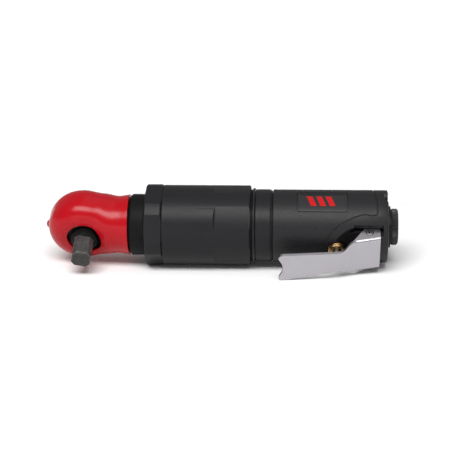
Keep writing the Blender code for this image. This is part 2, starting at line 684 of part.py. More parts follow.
def sector(inner, outer, half_angle):
    """Part of a ring round the barrel, centred on the side away from the lever."""
    outside = arc((0, 0), outer, 90 - half_angle, 90 + half_angle, 7)
    inside = arc((0, 0), inner, 90 + half_angle, 90 - half_angle, 7)
    return outside + inside


def inlet():
    """Knurled inlet bushing with its screen, and the ring it clamps over the exhaust."""
    at = (0, 0, INLET_DROP)
    turned("exhaust_deflector", [(BOSS[0], BOSS_R), (BOSS[1], BOSS_R)], [(BOSS[0], 8.2), (BOSS[1], 8.2)],
           BLACK_STEEL, at=at, facets=24)
    front, rear = INLET
    turned(
        "inlet_bushing",
        [
            (136.0, 7.8), (front, 7.8), (front, INLET_R - 0.4), (front + 0.4, INLET_R),
            (rear - 0.5, INLET_R), (rear, INLET_R - 0.6),
        ],
        [(136.0, 4.2), (140.0, 4.2), (140.0, 5.9), (143.0, 6.1), (rear - 0.6, 6.3), (rear, 6.9)],
        BLACK_DRIVE, at=at, facets=24,
    )
    screen = rod("inlet_screen", 5.6, (140.3, 141.0), BRASS, at=(0, INLET_DROP), facets=20)
    holes = []
    for i in range(7):
        radius = 3.4 if i else 0
        spot = (radius * cos(i * pi / 3), INLET_DROP + radius * sin(i * pi / 3))
        holes.append(rod("screen_hole_" + str(i + 1), 1.1, (139, 142), None, at=spot, facets=8))
    combine(screen, holes)


def valve():
    """Throttle valve under the lever: brass bushing, stem with its rubber seal, and the return spring."""
    at = (VALVE_X, 0, 0)
    bushing = turned(
        "valve_bushing",
        [(-18.8, 3.9), (-18.4, 4.3), (-18.0, 4.3), (-17.8, 3.9), (-17.5, 3.9), (-17.3, 4.3), (-6.2, 4.3)],
        [(-18.8, 2.2), (-6.2, 2.2)], BRASS, at=at, along="Z", facets=20,
    )
    port = rod("bushing_port", 1.0, (118, VALVE_X), None, at=(0, -10), facets=8)
    combine(bushing, [port])
    turned(
        "valve_stem",
        [
            (-24.7, 0), (-24.7, 1.2), (-24.1, 1.9), (-12.0, 1.9), (-12.0, 1.4), (-5.0, 1.4),
            (-5.0, 3.8), (-4.0, 3.8), (-3.2, 1.4), (-1.2, 1.4), (-1.2, 0),
        ],
        [], STEEL, at=at, along="Z",
    )
    turned("valve_seal", [(-5.9, 3.8), (-5.3, 3.8)], [(-5.9, 1.7), (-5.3, 1.7)], RUBBER, at=at, along="Z")
    coil("valve_spring", 2.4, 0.3, 8.0, 5, (VALVE_X, 0, -2.9), (0, 0, 1), STEEL, 10)


def throttle_lever():
    """Stamped lever: a bent plate with a waist and a bitten front end, and two ears on the pivot pin."""
    height = [
        (LEVER_FRONT, LEVER_FRONT_HEIGHT), (106.0, 29.7), (118.0, 27.8), (127.0, 26.3), (132.5, 23.2),
        (LEVER_REAR, 20.1),
    ]
    pivot = (PIVOT_X, 0, PIVOT_Z)
    outer = [(x - PIVOT_X, -h - PIVOT_Z) for x, h in height]
    inner = [(x, z + LEVER_SHEET) for x, z in outer]
    lever = plate("throttle_lever", [outer + inner[::-1]], 10.0, NICKEL, at=pivot, facing="Y")

    half = [
        (99.0, 0.0), (98.2, 3.6), (LEVER_FRONT, 6.2), (97.5, 7.6), (99.5, LEVER_FRONT_HALF), (112.0, 7.2),
        (122.0, 6.3), (127.0, 6.0), (129.6, 7.4), (132.6, 10.0), (LEVER_REAR - 1, 10.0), (LEVER_REAR, 9.0),
    ]
    plan = half + [(x, -y) for x, y in reversed(half[1:])]
    outline = plate("lever_plan", [plan], 25, None, at=(0, 0, -20))
    combine(lever, [outline], "INTERSECT")

    ear = [
        (132.7, -22.3), (137.4, -14.6), (138.3, -13.2), (139.3, -12.6), (144.2, -12.6), (145.4, -13.5),
        (LEVER_REAR, -15.5), (LEVER_REAR, -19.4),
    ]
    ears = [
        plate("lever_ear_1", [ear], 0.7, None, at=(0, -9.3, 0), facing="Y"),
        plate("lever_ear_2", [ear], 0.7, None, at=(0, 9.3, 0), facing="Y"),
    ]
    combine(lever, ears, "UNION")
    hole = rod("lever_pin_hole", 1.9, (-12, 12), None, at=(PIVOT_X, PIVOT_Z), along="Y", facets=12)
    combine(lever, [hole])
    turned(
        "lever_pin",
        [(-10.2, 1.3), (-9.9, 1.6), (9.9, 1.6), (10.2, 1.3)], [(-10.2, 0.9), (10.2, 0.9)],
        BLACK_DRIVE, at=pivot, along="Y", facets=12,
    )


def lay_down():
    """Roll the tool onto the bench and centre its box over the origin."""
    tool.rotation_euler = (ROLL, 0, 0)
    bpy.context.view_layer.update()
    depsgraph = bpy.context.evaluated_depsgraph_get()
    corners = []
    for piece in parts.objects:
        if piece.type == "MESH":
            shape = piece.evaluated_get(depsgraph)
            corners.extend(shape.matrix_world @ vertex.co for vertex in shape.data.vertices)
    low = [min(c[i] for c in corners) for i in range(3)]
    high = [max(c[i] for c in corners) for i in range(3)]
    tool.location = (-(low[0] + high[0]) / 2, -(low[1] + high[1]) / 2, -low[2])
    bpy.context.view_layer.update()


head_boot()
ratchet_head()
yoke()
head_stack()
square_drive()
detent()
pawl()
reverse_knob()
crank()
clamp_nut()
hammer_case()
hammers()
coupling()
motor()
motor_housing()
inlet()
valve()
throttle_lever()
lay_down()
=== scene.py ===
import json
from math import cos, hypot, pi, radians, sin, sqrt

import bmesh
import bpy
from mathutils import Matrix, Quaternion, Vector


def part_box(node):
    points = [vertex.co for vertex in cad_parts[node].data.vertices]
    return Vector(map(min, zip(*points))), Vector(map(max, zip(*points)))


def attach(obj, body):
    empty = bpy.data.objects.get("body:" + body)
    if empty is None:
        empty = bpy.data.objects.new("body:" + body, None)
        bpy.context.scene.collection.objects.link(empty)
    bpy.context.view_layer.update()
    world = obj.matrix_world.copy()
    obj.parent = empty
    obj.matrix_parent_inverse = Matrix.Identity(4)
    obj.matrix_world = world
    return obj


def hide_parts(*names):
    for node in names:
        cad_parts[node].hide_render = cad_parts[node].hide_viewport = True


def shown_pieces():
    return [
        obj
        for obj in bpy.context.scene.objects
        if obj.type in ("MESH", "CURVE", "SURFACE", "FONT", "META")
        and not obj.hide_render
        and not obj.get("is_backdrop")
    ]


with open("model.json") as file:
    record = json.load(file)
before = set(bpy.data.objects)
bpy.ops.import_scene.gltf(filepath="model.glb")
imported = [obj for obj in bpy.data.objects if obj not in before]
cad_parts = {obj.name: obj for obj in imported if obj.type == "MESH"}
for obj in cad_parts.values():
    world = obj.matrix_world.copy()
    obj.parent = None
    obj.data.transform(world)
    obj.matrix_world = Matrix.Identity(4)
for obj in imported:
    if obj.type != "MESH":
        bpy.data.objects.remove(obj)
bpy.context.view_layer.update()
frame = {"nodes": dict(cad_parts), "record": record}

# ---- Bench, light and camera ---------------------------------------------------------------------
# The tool lies on a pale bench under a soft box in front, a weak one overhead, a low strip, and a
# wash over the bench behind. Its own frame has X along the barrel to the inlet, -Z along the
# square drive, and its origin where the drive axis meets the barrel's axis.

MM = 0.001
joints = {joint["name"]: joint for joint in frame["record"]["behaviour"]["joints"]}
drive_up = Vector(joints["yoke_rock"]["axis"]).normalized()
along = Vector((1.0, 0.0, 0.0))
across = drive_up.cross(along)
origin = Vector(joints["yoke_rock"]["pos_m"])
TOOL = Matrix((
    (along.x, across.x, drive_up.x, origin.x),
    (along.y, across.y, drive_up.y, origin.y),
    (along.z, across.z, drive_up.z, origin.z),
    (0.0, 0.0, 0.0, 1.0),
))


def span(node):
    """Where a node starts and ends along the barrel, in millimetres from the drive axis."""
    low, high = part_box(node)
    return (low.x - origin.x) / MM, (high.x - origin.x) / MM


CAMERA_RISE = radians(18.06)
CAMERA_SIDE = 0.055
CAMERA_REACH = 0.75
aim = TOOL @ Vector((69.6 * MM, 0.0, 0.0))
camera_data = bpy.data.cameras.new("camera")
camera_data.lens = 120.0
bpy.context.scene.view_settings.view_transform = "Standard"
camera = bpy.data.objects.new("camera", camera_data)
bpy.context.scene.collection.objects.link(camera)
to_camera = Vector((CAMERA_SIDE, -cos(CAMERA_RISE), sin(CAMERA_RISE))).normalized()
camera.location = aim + to_camera * CAMERA_REACH
camera_tilt = Quaternion((0, 0, 1), radians(-0.55))
camera.rotation_euler = (to_camera.to_track_quat("Z", "Y") @ camera_tilt).to_euler()
bpy.context.scene.camera = camera


def soft_lamp(name, place, size, power, target=aim):
    """A soft box that faces the middle of the tool, or another spot."""
    data = bpy.data.lights.new(name, "AREA")
    data.shape = "RECTANGLE"
    data.size, data.size_y = size
    data.energy = power
    lamp = bpy.data.objects.new(name, data)
    bpy.context.scene.collection.objects.link(lamp)
    lamp.location = Vector(place)
    lamp.rotation_euler = (Vector(place) - Vector(target)).to_track_quat("Z", "Y").to_euler()


soft_lamp("front_soft_box", (-0.1, -0.62, 0.88), (0.9, 0.45), 12.5)
soft_lamp("overhead_soft_box", (0.1, 0.0, 1.1), (1.4, 0.5), 0.8)
soft_lamp("low_front_strip", (0.0, -0.85, 0.10), (1.2, 0.12), 0.8)
soft_lamp("background_wash", (0.0, 0.36, 0.7), (1.4, 0.3), 20.0, (0.0, 1.36, 0.34))

world = bpy.data.worlds.new("studio")
world.use_nodes = True
world.node_tree.nodes["Background"].inputs["Color"].default_value = (1.0, 1.0, 1.0, 1.0)
world.node_tree.nodes["Background"].inputs["Strength"].default_value = 0.34
bpy.context.scene.world = world

floor_shape = bmesh.new()
bmesh.ops.create_grid(floor_shape, x_segments=1, y_segments=1, size=4.0)
floor_mesh = bpy.data.meshes.new("bench")
floor_shape.to_mesh(floor_mesh)
floor_shape.free()
floor = bpy.data.objects.new("bench", floor_mesh)
bpy.context.scene.collection.objects.link(floor)
floor_finish = bpy.data.materials.new("bench_white")
floor_finish.use_nodes = True
floor_shader = floor_finish.node_tree.nodes["Principled BSDF"]
floor_shader.inputs["Base Color"].default_value = (0.97, 0.97, 0.97, 1.0)
floor_shader.inputs["Roughness"].default_value = 0.9
floor_shader.inputs["Specular IOR Level"].default_value = 0.0
floor_mesh.materials.append(floor_finish)
floor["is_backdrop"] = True

# ---- Head boot -----------------------------------------------------------------------------------
# A glossy red elastomer boot moulded in one piece and stretched over the steel head from the front.
# It has a flat round face with a hole for the drive, another for the reverse knob, and a moulding nub
# on its nose; its rear lip flares a little where it meets the steel shoulder.

WELD = 0.000001
SHARP = radians(32)
BOOT_R = 17.3
BOOT_MIDDLE = -1.4
DRIVE_SIDE = (11.0, 9.0)
KNOB_SIDE = (13.3, 11.5)
BOOT_WALL = 2.0
boot_nose, boot_rear = span("head_boot")
DRIVE_HOLE_R = 8.7
KNOB_HOLE_R = 8.2


def grain_group():
    """Fine pores and broad unevenness: a height for the bump and a mask for colour and roughness."""
    group = bpy.data.node_groups.new("grain", "ShaderNodeTree")
    for label, value in (("Pore Scale", 900.0), ("Cloud Scale", 60.0), ("Cloud Share", 0.4)):
        socket = group.interface.new_socket(label, in_out="INPUT", socket_type="NodeSocketFloat")
        socket.default_value = value
    group.interface.new_socket("Height", in_out="OUTPUT", socket_type="NodeSocketFloat")
    group.interface.new_socket("Mask", in_out="OUTPUT", socket_type="NodeSocketFloat")
    nodes, links = group.nodes, group.links
    take = nodes.new("NodeGroupInput")
    give = nodes.new("NodeGroupOutput")
    where = nodes.new("ShaderNodeTexCoord")
    pores = nodes.new("ShaderNodeTexNoise")
    clouds = nodes.new("ShaderNodeTexNoise")
    pores.inputs["Detail"].default_value = 3.0
    clouds.inputs["Detail"].default_value = 4.0
    mix = nodes.new("ShaderNodeMix")
    links.new(where.outputs["Object"], pores.inputs["Vector"])
    links.new(where.outputs["Object"], clouds.inputs["Vector"])
    links.new(take.outputs["Pore Scale"], pores.inputs["Scale"])
    links.new(take.outputs["Cloud Scale"], clouds.inputs["Scale"])
    links.new(take.outputs["Cloud Share"], mix.inputs["Factor"])
    links.new(pores.outputs["Fac"], mix.inputs["A"])
    links.new(clouds.outputs["Fac"], mix.inputs["B"])
    links.new(pores.outputs["Fac"], give.inputs["Height"])
    links.new(mix.outputs["Result"], give.inputs["Mask"])
    return group


GRAIN = grain_group()


def finish(name, dark, light, metallic, roughness, pores, depth, clouds=60.0, specular=0.5):
    """A surface between two shades and two roughnesses, with its own pore size and bump depth."""
    material = bpy.data.materials.new(name)
    material.use_nodes = True
    nodes, links = material.node_tree.nodes, material.node_tree.links
    shader = nodes["Principled BSDF"]
    shader.inputs["Metallic"].default_value = metallic
    shader.inputs["Specular IOR Level"].default_value = specular
    grain = nodes.new("ShaderNodeGroup")
    grain.node_tree = GRAIN
    grain.inputs["Pore Scale"].default_value = pores
    grain.inputs["Cloud Scale"].default_value = clouds
    shade = nodes.new("ShaderNodeMix")
    shade.data_type = "RGBA"
    shade.inputs["A"].default_value = (*dark, 1.0)
    shade.inputs["B"].default_value = (*light, 1.0)
    gloss = nodes.new("ShaderNodeMapRange")
    gloss.inputs["From Min"].default_value = 0.3
    gloss.inputs["From Max"].default_value = 0.7
    gloss.inputs["To Min"].default_value = roughness[0]
    gloss.inputs["To Max"].default_value = roughness[1]
    bump = nodes.new("ShaderNodeBump")
    bump.inputs["Strength"].default_value = 1.0
    bump.inputs["Distance"].default_value = depth * MM
    links.new(grain.outputs["Mask"], shade.inputs["Factor"])
    links.new(grain.outputs["Mask"], gloss.inputs["Value"])
    links.new(grain.outputs["Height"], bump.inputs["Height"])
    links.new(shade.outputs["Result"], shader.inputs["Base Color"])
    links.new(gloss.outputs["Result"], shader.inputs["Roughness"])
    links.new(bump.outputs["Normal"], shader.inputs["Normal"])
    return material


def lathe(outline, steps=128, axis="X", centre=(0.0, 0.0), closed=True):
    """Spin (station, radius) points, in millimetres, round an axis of the tool."""
    shape = bmesh.new()
    points = [shape.verts.new((station * MM, radius * MM, 0.0)) for station, radius in outline]
    edges = [shape.edges.new(pair) for pair in zip(points, points[1:])]
    if closed:
        edges.append(shape.edges.new((points[-1], points[0])))
    bmesh.ops.spin(
        shape, geom=points + edges, cent=(0, 0, 0), axis=(1, 0, 0), dvec=(0, 0, 0),
        angle=2 * pi, steps=steps, use_merge=True,
    )
    bmesh.ops.remove_doubles(shape, verts=shape.verts, dist=2 * WELD)
    bmesh.ops.dissolve_degenerate(shape, edges=shape.edges, dist=WELD)
    bmesh.ops.recalc_face_normals(shape, faces=shape.faces)
    turn = {
        "X": Matrix.Identity(4),
        "Y": Matrix.Rotation(pi / 2, 4, "Z"),
        "Z": Matrix.Rotation(-pi / 2, 4, "Y"),
    }
    move = {
        "X": Vector((0, centre[0], centre[1])),
        "Y": Vector((centre[0], 0, centre[1])),
        "Z": Vector((centre[0], centre[1], 0)),
    }
    setting = Matrix.Translation(move[axis] * MM) @ turn[axis]
    bmesh.ops.transform(shape, matrix=setting, verts=shape.verts)
    return shape


def arc(middle, radius, start, end, steps):
    """Points on an arc in degrees, both ends included."""
    angles = [radians(start + (end - start) * i / steps) for i in range(steps + 1)]
    return [(middle[0] + radius * cos(a), middle[1] + radius * sin(a)) for a in angles]


def drum(low, high, radius, axis="X", centre=(0.0, 0.0), steps=96):
    """A plain round bar, used only to cut with."""
    outline = [(low, 0.0), (low, radius), (high, radius), (high, 0.0)]
    return lathe(outline, steps, axis, centre, closed=False)


def cut(shape, tools, operation="DIFFERENCE"):
    """Cut or join shapes one after another and return the result; the tools are used up."""
    for tool in tools:
        pair = []
        for part in (shape, tool):
            mesh = bpy.data.meshes.new("blank")
            part.to_mesh(mesh)
            part.free()
            blank = bpy.data.objects.new("blank", mesh)
            bpy.context.scene.collection.objects.link(blank)
            pair.append(blank)
        step = pair[0].modifiers.new("cut", "BOOLEAN")
        step.operation = operation
        step.solver = "EXACT"
        step.object = pair[1]
        worked = pair[0].evaluated_get(bpy.context.evaluated_depsgraph_get())
        result = bpy.data.meshes.new_from_object(worked)
        for blank in pair:
            bpy.data.objects.remove(blank)
        shape = bmesh.new()
        shape.from_mesh(result)
        bmesh.ops.remove_doubles(shape, verts=shape.verts, dist=WELD)
    return shape


def piece(name, shape, body, material, stands_for=(), edge=0.0, segments=2):
    """Set a finished shape down in the row's frame, soften its edges and fix it to its body."""
    bmesh.ops.transform(shape, matrix=TOOL, verts=shape.verts)
    mesh = bpy.data.meshes.new(name)
    shape.to_mesh(mesh)
    shape.free()
    mesh.shade_smooth()
    mesh.set_sharp_from_angle(angle=SHARP)
    mesh.materials.append(material)
    thing = bpy.data.objects.new(name, mesh)
    bpy.context.scene.collection.objects.link(thing)
    if edge:
        soften = thing.modifiers.new("edge", "BEVEL")
        soften.width = edge * MM
        soften.segments = segments
        soften.limit_method = "ANGLE"
        soften.angle_limit = SHARP
        soften.harden_normals = True
    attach(thing, body)
    if stands_for:
        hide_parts(*stands_for)
    return thing


RED = finish("red_boot_skin", (0.34, 0.001, 0.005), (0.41, 0.0015, 0.008), 0.0,
             (0.18, 0.27), 1400.0, 0.003, specular=0.24)


def dome_reach(x, sideways, upward):
    """How far the rounded head reaches from the barrel axis in one direction at one station."""
    face, rounding = KNOB_SIDE if upward > 0 else DRIVE_SIDE
    low, high = 0.0, BOOT_R + 1.0
    for _ in range(30):
        middle = (low + high) / 2
        out = hypot(x - BOOT_MIDDLE, middle * sideways)
        bend = max(out - (BOOT_R - rounding), 0.0)
        swell = sqrt(max(rounding**2 - bend**2, 0.0))
        inside = out < BOOT_R and face - rounding + swell >= abs(middle * upward)
        low, high = (middle, high) if inside else (low, middle)
    return low


def flowing(points, steps=5):
    """An open line drawn smoothly through its points."""
    line = []
    for i in range(len(points) - 1):
        a, b = Vector(points[max(i - 1, 0)]), Vector(points[i])
        c, d = Vector(points[i + 1]), Vector(points[min(i + 2, len(points) - 1)])
        for k in range(steps):
            t = k / steps
            line.append(tuple(0.5 * (
                2 * b + (c - a) * t + (2 * a - 5 * b + 4 * c - d) * t**2
                + (3 * b - a - 3 * c + d) * t**3
            )))
    return line + [tuple(points[-1])]


# half width, and reach on the drive side and the knob side, at stations down the neck
WAIST = 16.2
NECK = flowing([(-12.0, 0.0, 0.0), (-6.0, 9.0, 7.0), (3.0, 15.0, 10.8), (7.5, 15.9, 13.1),
                (11.3, 15.0, 14.3), (WAIST, 14.2, 14.2), (boot_rear, 15.05, 15.05)], 8)


def neck_reach(x, sideways, upward):
    """The boot's neck, an oval that swells into the head in front and flares, round, at the lip."""
    for a, b in zip(NECK, NECK[1:]):
        if a[0] <= x <= b[0]:
            share = (x - a[0]) / (b[0] - a[0])
            half, depth = (a[k] + (b[k] - a[k]) * share for k in (1, 2))
            if upward > 0 and x < WAIST:
                depth += 1.5 * sin(pi * min(max((x + 6.0) / (WAIST + 6.0), 0.0), 1.0))
            return 1.0 / hypot(sideways / max(half, 0.01), upward / max(depth, 0.01))
    return NECK[-1][1] if x > 0 else 0.0


def boot_shape():
    """Spin the boot's skin round the barrel, then let it follow the head and the neck."""
    front = BOOT_MIDDLE - BOOT_R
    stations = [front * cos(pi / 2 * i / 40) for i in range(40)]
    stations += [boot_rear * i / 44 for i in range(45)]
    sleeve = [(x, 0.0 if i == 0 else 1.0) for i, x in enumerate(stations)]
    shape = lathe(sleeve + [(boot_rear, 0.0)], 160, closed=False)
    for vertex in shape.verts:
        flat = Vector((0.0, vertex.co.y, vertex.co.z))
        if flat.length < 0.0005:
            continue
        x = vertex.co.x / MM
        way = flat.normalized()
        head = dome_reach(x, way.y, way.z)
        neck = neck_reach(x, way.y, way.z)
        blend = 1.2 * min(max((x + 12.0) / 12.0, 0.0), 1.0)
        reach = 0.5 * (head + neck + sqrt((head - neck) ** 2 + blend**2))
        vertex.co = Vector((vertex.co.x, way.y * reach * MM, way.z * reach * MM))
    inner = [v for v in shape.verts if (boot_nose + 3.5) * MM < v.co.x < (boot_rear - 2.6) * MM]
    for _ in range(14):
        bmesh.ops.smooth_vert(
            shape, verts=inner, factor=0.5, use_axis_x=False, use_axis_y=True, use_axis_z=True,
        )
    return shape


nub = lathe(
    [(boot_nose, 0.0), (boot_nose + 0.03, 0.7), (boot_nose + 0.25, 1.25), (boot_nose + 0.7, 1.7),
     (boot_nose + 1.25, 2.3), (boot_nose + 1.9, 3.3), (boot_nose + 5, 3.5), (boot_nose + 5, 0.0)],
    48, closed=False,
)


def dome_side(side, skin, sign):
    """One rounded face of the head in section, at a depth under the boot's surface."""
    face, rounding = side
    bend = rounding - skin
    return [
        (sign * (face - rounding + bend * cos(a)), BOOT_R - rounding + bend * sin(a))
        for a in (pi / 2 * i / 14 for i in range(15))
    ]


hollow = lathe(
    [(BOOT_WALL - DRIVE_SIDE[0], 0.0)] + dome_side(DRIVE_SIDE, BOOT_WALL, -1)
    + dome_side(KNOB_SIDE, BOOT_WALL, 1)[::-1] + [(KNOB_SIDE[0] - BOOT_WALL, 0.0)],
    96, "Z", (BOOT_MIDDLE, 0.0), closed=False,
)
boot = cut(boot_shape(), [nub], "UNION")
boot = cut(boot, [
    hollow,
    drum(3.0, boot_rear + 2, 12.6),
    drum(-20.0, -5.0, DRIVE_HOLE_R, "Z"),
    drum(5.0, 20.0, KNOB_HOLE_R, "Z"),
])
piece("boot_skin", boot, "housing", RED, ["head_boot"], edge=0.45, segments=3)

# ---- Ratchet head --------------------------------------------------------------------------------
# A steel forging under the boot. Only its black shoulder shows behind the boot, and the ring
# round the drive inside the boot's hole; the flange behind the shoulder sits inside the clamp nut.

BLACK = finish("black_coated_steel", (0.008, 0.0075, 0.0085), (0.015, 0.014, 0.016), 0.0,
               (0.36, 0.48), 1100.0, 0.010, clouds=45.0, specular=0.17)
neck_front, spigot_rear = 16.9, span("ratchet_head")[1]
nut_front, nut_rear = span("clamp_nut")
SHOULDER_R = 15.25
shoulder_front = boot_rear + 0.45
shoulder = lathe(
    [
        (neck_front, 12.3), (shoulder_front, 12.3), (shoulder_front, SHOULDER_R - 1.2),
        (shoulder_front + 0.2, SHOULDER_R - 0.95), (shoulder_front + 1.1, SHOULDER_R - 0.1),
        (shoulder_front + 1.4, SHOULDER_R), (31.6, SHOULDER_R), (31.6, 16.9), (33.6, 16.9), (33.6, 14.0),
        (spigot_rear, 14.0), (spigot_rear, 9.0), (neck_front, 9.0),
    ],
)
# Near-black steel, darker than the coated case: its colour is painted shade, for the shoulder in the gap
# between the boot and the nut, and for the lip and the flange deep in the boot's hole.
PAINTED_SHADE_STEEL = finish("steel_painted_shade", (0.003, 0.003, 0.003), (0.007, 0.007, 0.007), 0.0,
                (0.5, 0.6), 900.0, 0.01, specular=0.1)
piece("head_shoulder", shoulder, "housing", PAINTED_SHADE_STEEL, ["ratchet_head"], edge=0.15)
inner_lip = lathe([(-8.6, 8.6), (-8.6, 9.4), (-8.2, 10.9), (-7.0, 11.6), (-7.0, 8.6)], 96, "Z")
piece("head_inner_lip", inner_lip, "housing", PAINTED_SHADE_STEEL, edge=0.1)

# ---- Square drive --------------------------------------------------------------------------------
# Turned and milled from alloy steel, hardened and black-oxided: a 3/8 in square with flattened
# corners and a chamfered tip stands on a round flange with a fillet, drawn as a piece of its own.
# A sprung ball sits in one face.

SQUARE = 9.53
CORNER = 1.9
TIP_CHAMFER = 0.8
DRIVE_TURN = Matrix.Rotation(radians(12.0), 3, "Z")
DRIVE_TIP = -26.0
BALL_HEIGHT = -20.6


def edge_glint_group():
    """A painted highlight on each proud edge, where the edge catches the light, broken up by a fine
    noise.
    """
    group = bpy.data.node_groups.new("painted_edge_glint", "ShaderNodeTree")
    for label, value in (("Start", 0.52), ("End", 0.60), ("Noise Scale", 500.0)):
        socket = group.interface.new_socket(label, in_out="INPUT", socket_type="NodeSocketFloat")
        socket.default_value = value
    group.interface.new_socket("Mask", in_out="OUTPUT", socket_type="NodeSocketFloat")
    nodes, links = group.nodes, group.links
    take = nodes.new("NodeGroupInput")
    give = nodes.new("NodeGroupOutput")
    shape = nodes.new("ShaderNodeNewGeometry")
    ramp = nodes.new("ShaderNodeMapRange")
    where = nodes.new("ShaderNodeTexCoord")
    noise = nodes.new("ShaderNodeTexNoise")
    product = nodes.new("ShaderNodeMath")
    product.operation = "MULTIPLY"
    links.new(shape.outputs["Pointiness"], ramp.inputs["Value"])
    links.new(take.outputs["Start"], ramp.inputs["From Min"])
    links.new(take.outputs["End"], ramp.inputs["From Max"])
    links.new(where.outputs["Object"], noise.inputs["Vector"])
    links.new(take.outputs["Noise Scale"], noise.inputs["Scale"])
    links.new(ramp.outputs["Result"], product.inputs[0])
    links.new(noise.outputs["Fac"], product.inputs[1])
    links.new(product.outputs["Value"], give.inputs["Mask"])
    return group


EDGE_GLINT = edge_glint_group()


def paint_edge_glint(material, glint_colour):
    """Mix a bright painted highlight into a material's colour along its proud edges."""
    nodes, links = material.node_tree.nodes, material.node_tree.links
    shader = nodes["Principled BSDF"]
    under = shader.inputs["Base Color"].links[0].from_socket
    glint = nodes.new("ShaderNodeGroup")
    glint.node_tree = EDGE_GLINT
    mix = nodes.new("ShaderNodeMix")
    mix.data_type = "RGBA"
    mix.inputs["B"].default_value = (*glint_colour, 1.0)
    links.new(glint.outputs["Mask"], mix.inputs["Factor"])
    links.new(under, mix.inputs["A"])
    links.new(mix.outputs["Result"], shader.inputs["Base Color"])


OXIDE = finish("black_oxide", (0.014, 0.013, 0.013), (0.026, 0.024, 0.024), 0.3,
               (0.26, 0.38), 900.0, 0.008, specular=0.2)
# the black oxide gets a bright painted highlight along its proud edges
paint_edge_glint(OXIDE, (0.26, 0.25, 0.24))


def bar(low, high):
    """A box between two corners of the tool's frame, in millimetres."""
    shape = bmesh.new()
    size = (Vector(high) - Vector(low)) * MM
    middle = (Vector(high) + Vector(low)) / 2 * MM
    setting = Matrix.Translation(middle) @ Matrix.Diagonal(size.to_4d())
    bmesh.ops.create_cube(shape, size=1.0, matrix=setting)
    return shape


def bevel(shape, edges, width, segments):
    """Chamfer or round some of a shape's edges by a width in millimetres."""
    bmesh.ops.bevel(
        shape, geom=edges, offset=width * MM, segments=segments, profile=0.5,
        affect="EDGES", material=-1,
    )


square = bar((-SQUARE / 2, -SQUARE / 2, DRIVE_TIP), (SQUARE / 2, SQUARE / 2, -13.85))
uprights = [e for e in square.edges if abs(e.verts[0].co.z - e.verts[1].co.z) > 0.005]
bevel(square, uprights, CORNER, 1)
tip_edges = [e for e in square.edges if max(v.co.z for v in e.verts) < (DRIVE_TIP + 0.1) * MM]
bevel(square, tip_edges, TIP_CHAMFER, 3)
bmesh.ops.rotate(square, verts=square.verts, cent=(0, 0, 0), matrix=DRIVE_TURN)
flange = lathe(
    [(-13.9, 0.0), (-13.9, 5.3)] + arc((-13.9, 6.6), 1.3, -90, 0, 5)[1:]
    + [(-9.4, 6.6), (-9.1, 6.9), (-9.0, 8.1), (-8.8, 8.3), (-5.1, 8.3), (-5.1, 7.6), (5.1, 7.6),
       (5.1, 6.0), (8.2, 6.0), (8.2, 3.3), (-2.6, 3.3), (-2.6, 0.0)],
    96, "Z", closed=False,
)
ball_seat = drum(0.5, 6.0, 1.5, "Y", (0.0, BALL_HEIGHT), 32)
bmesh.ops.rotate(ball_seat, verts=ball_seat.verts, cent=(0, 0, 0), matrix=DRIVE_TURN)
# the flange sits deep in the boot's hole and takes the near-black steel of painted shade
piece("square_drive_body", flange, "drive", PAINTED_SHADE_STEEL, ["square_drive"], edge=0.12)
piece("drive_square", cut(square, [ball_seat]), "drive", OXIDE, edge=0.15)

ball = bmesh.new()
ball_out = DRIVE_TURN @ Vector((0.0, 4.05, 0.0))
bmesh.ops.create_uvsphere(
    ball, u_segments=32, v_segments=20, radius=1.25 * MM,
    matrix=Matrix.Translation((ball_out + Vector((0.0, 0.0, BALL_HEIGHT))) * MM),
)
BALL = finish("polished_ball", (0.60, 0.60, 0.62), (0.70, 0.70, 0.72), 1.0, (0.10, 0.20), 600.0, 0.002)
piece("drive_ball", ball, "detent", BALL, ["detent_ball"])

# ---- Reverse knob --------------------------------------------------------------------------------
# A black-oxided steel disc on the back of the head with a raised grip across it; its stem runs
# down the middle of the drive and its sprung plunger tips the pawl one way or the other.

KNOB_R = 7.6
knob_disc = lathe(
    [(8.7, 3.0), (8.7, 7.0), (9.3, KNOB_R), (12.9, KNOB_R), (13.6, KNOB_R - 0.7), (13.6, 0.0),
     (-2.2, 0.0), (-2.2, 3.0)],
    96, "Z",
)
grip_bar = bar((-6.9, -1.9, 12.5), (6.9, 1.9, 15.0))
knob = cut(knob_disc, [grip_bar], "UNION")
piece("knob_with_grip", knob, "knob", OXIDE, ["reverse_knob"], edge=0.35, segments=3)

# ---- Clamp nut -----------------------------------------------------------------------------------
# Turned from hexagon bar: a shallow cone in front, six narrow flats for a spanner, and a small
# chamfer behind. It draws the head's flange onto the hammer case, and is coated satin black.

NUT_R = 20.2
NUT_FLAT = 18.9
NUT_CLOCK = radians(25.5)
nut = lathe(
    [
        (nut_front, 15.7), (nut_front + 0.95, NUT_R - 0.3), (nut_front + 1.25, NUT_R),
        (nut_rear - 0.6, NUT_R), (nut_rear, NUT_R - 0.6), (nut_rear, 17.3), (31.3, 17.3),
        (31.3, SHOULDER_R + 0.3), (nut_front, SHOULDER_R + 0.3),
    ],
    180,
)


def flat_cutters(distance, clock, start, end, run_out):
    """Six milling passes round the barrel; the front end of each keeps the cutter's own radius."""
    tools = []
    for i in range(6):
        turn = Matrix.Rotation(clock + i * pi / 3, 4, "X")
        tool = bar((start, -12, -distance - 6), (end, 12, -distance))
        if run_out:
            edge = [
                e for e in tool.edges
                if all(v.co.x < (start + 0.1) * MM and v.co.z > (-distance - 0.1) * MM for v in e.verts)
            ]
            bevel(tool, edge, run_out, 8)
        bmesh.ops.transform(tool, matrix=turn, verts=tool.verts)
        tools.append(tool)
    return tools


nut = cut(nut, flat_cutters(NUT_FLAT, NUT_CLOCK, nut_front - 2, nut_rear + 2, 0.0))
piece("clamp_nut_body", nut, "housing", BLACK, ["clamp_nut"], edge=0.18)

# ---- Hammer case ---------------------------------------------------------------------------------
# Machined from steel bar and coated black. Six shallow flats are milled round its rear half, each
# ending in the cutter's curved run-out, and the rear edge is rounded over the seal.

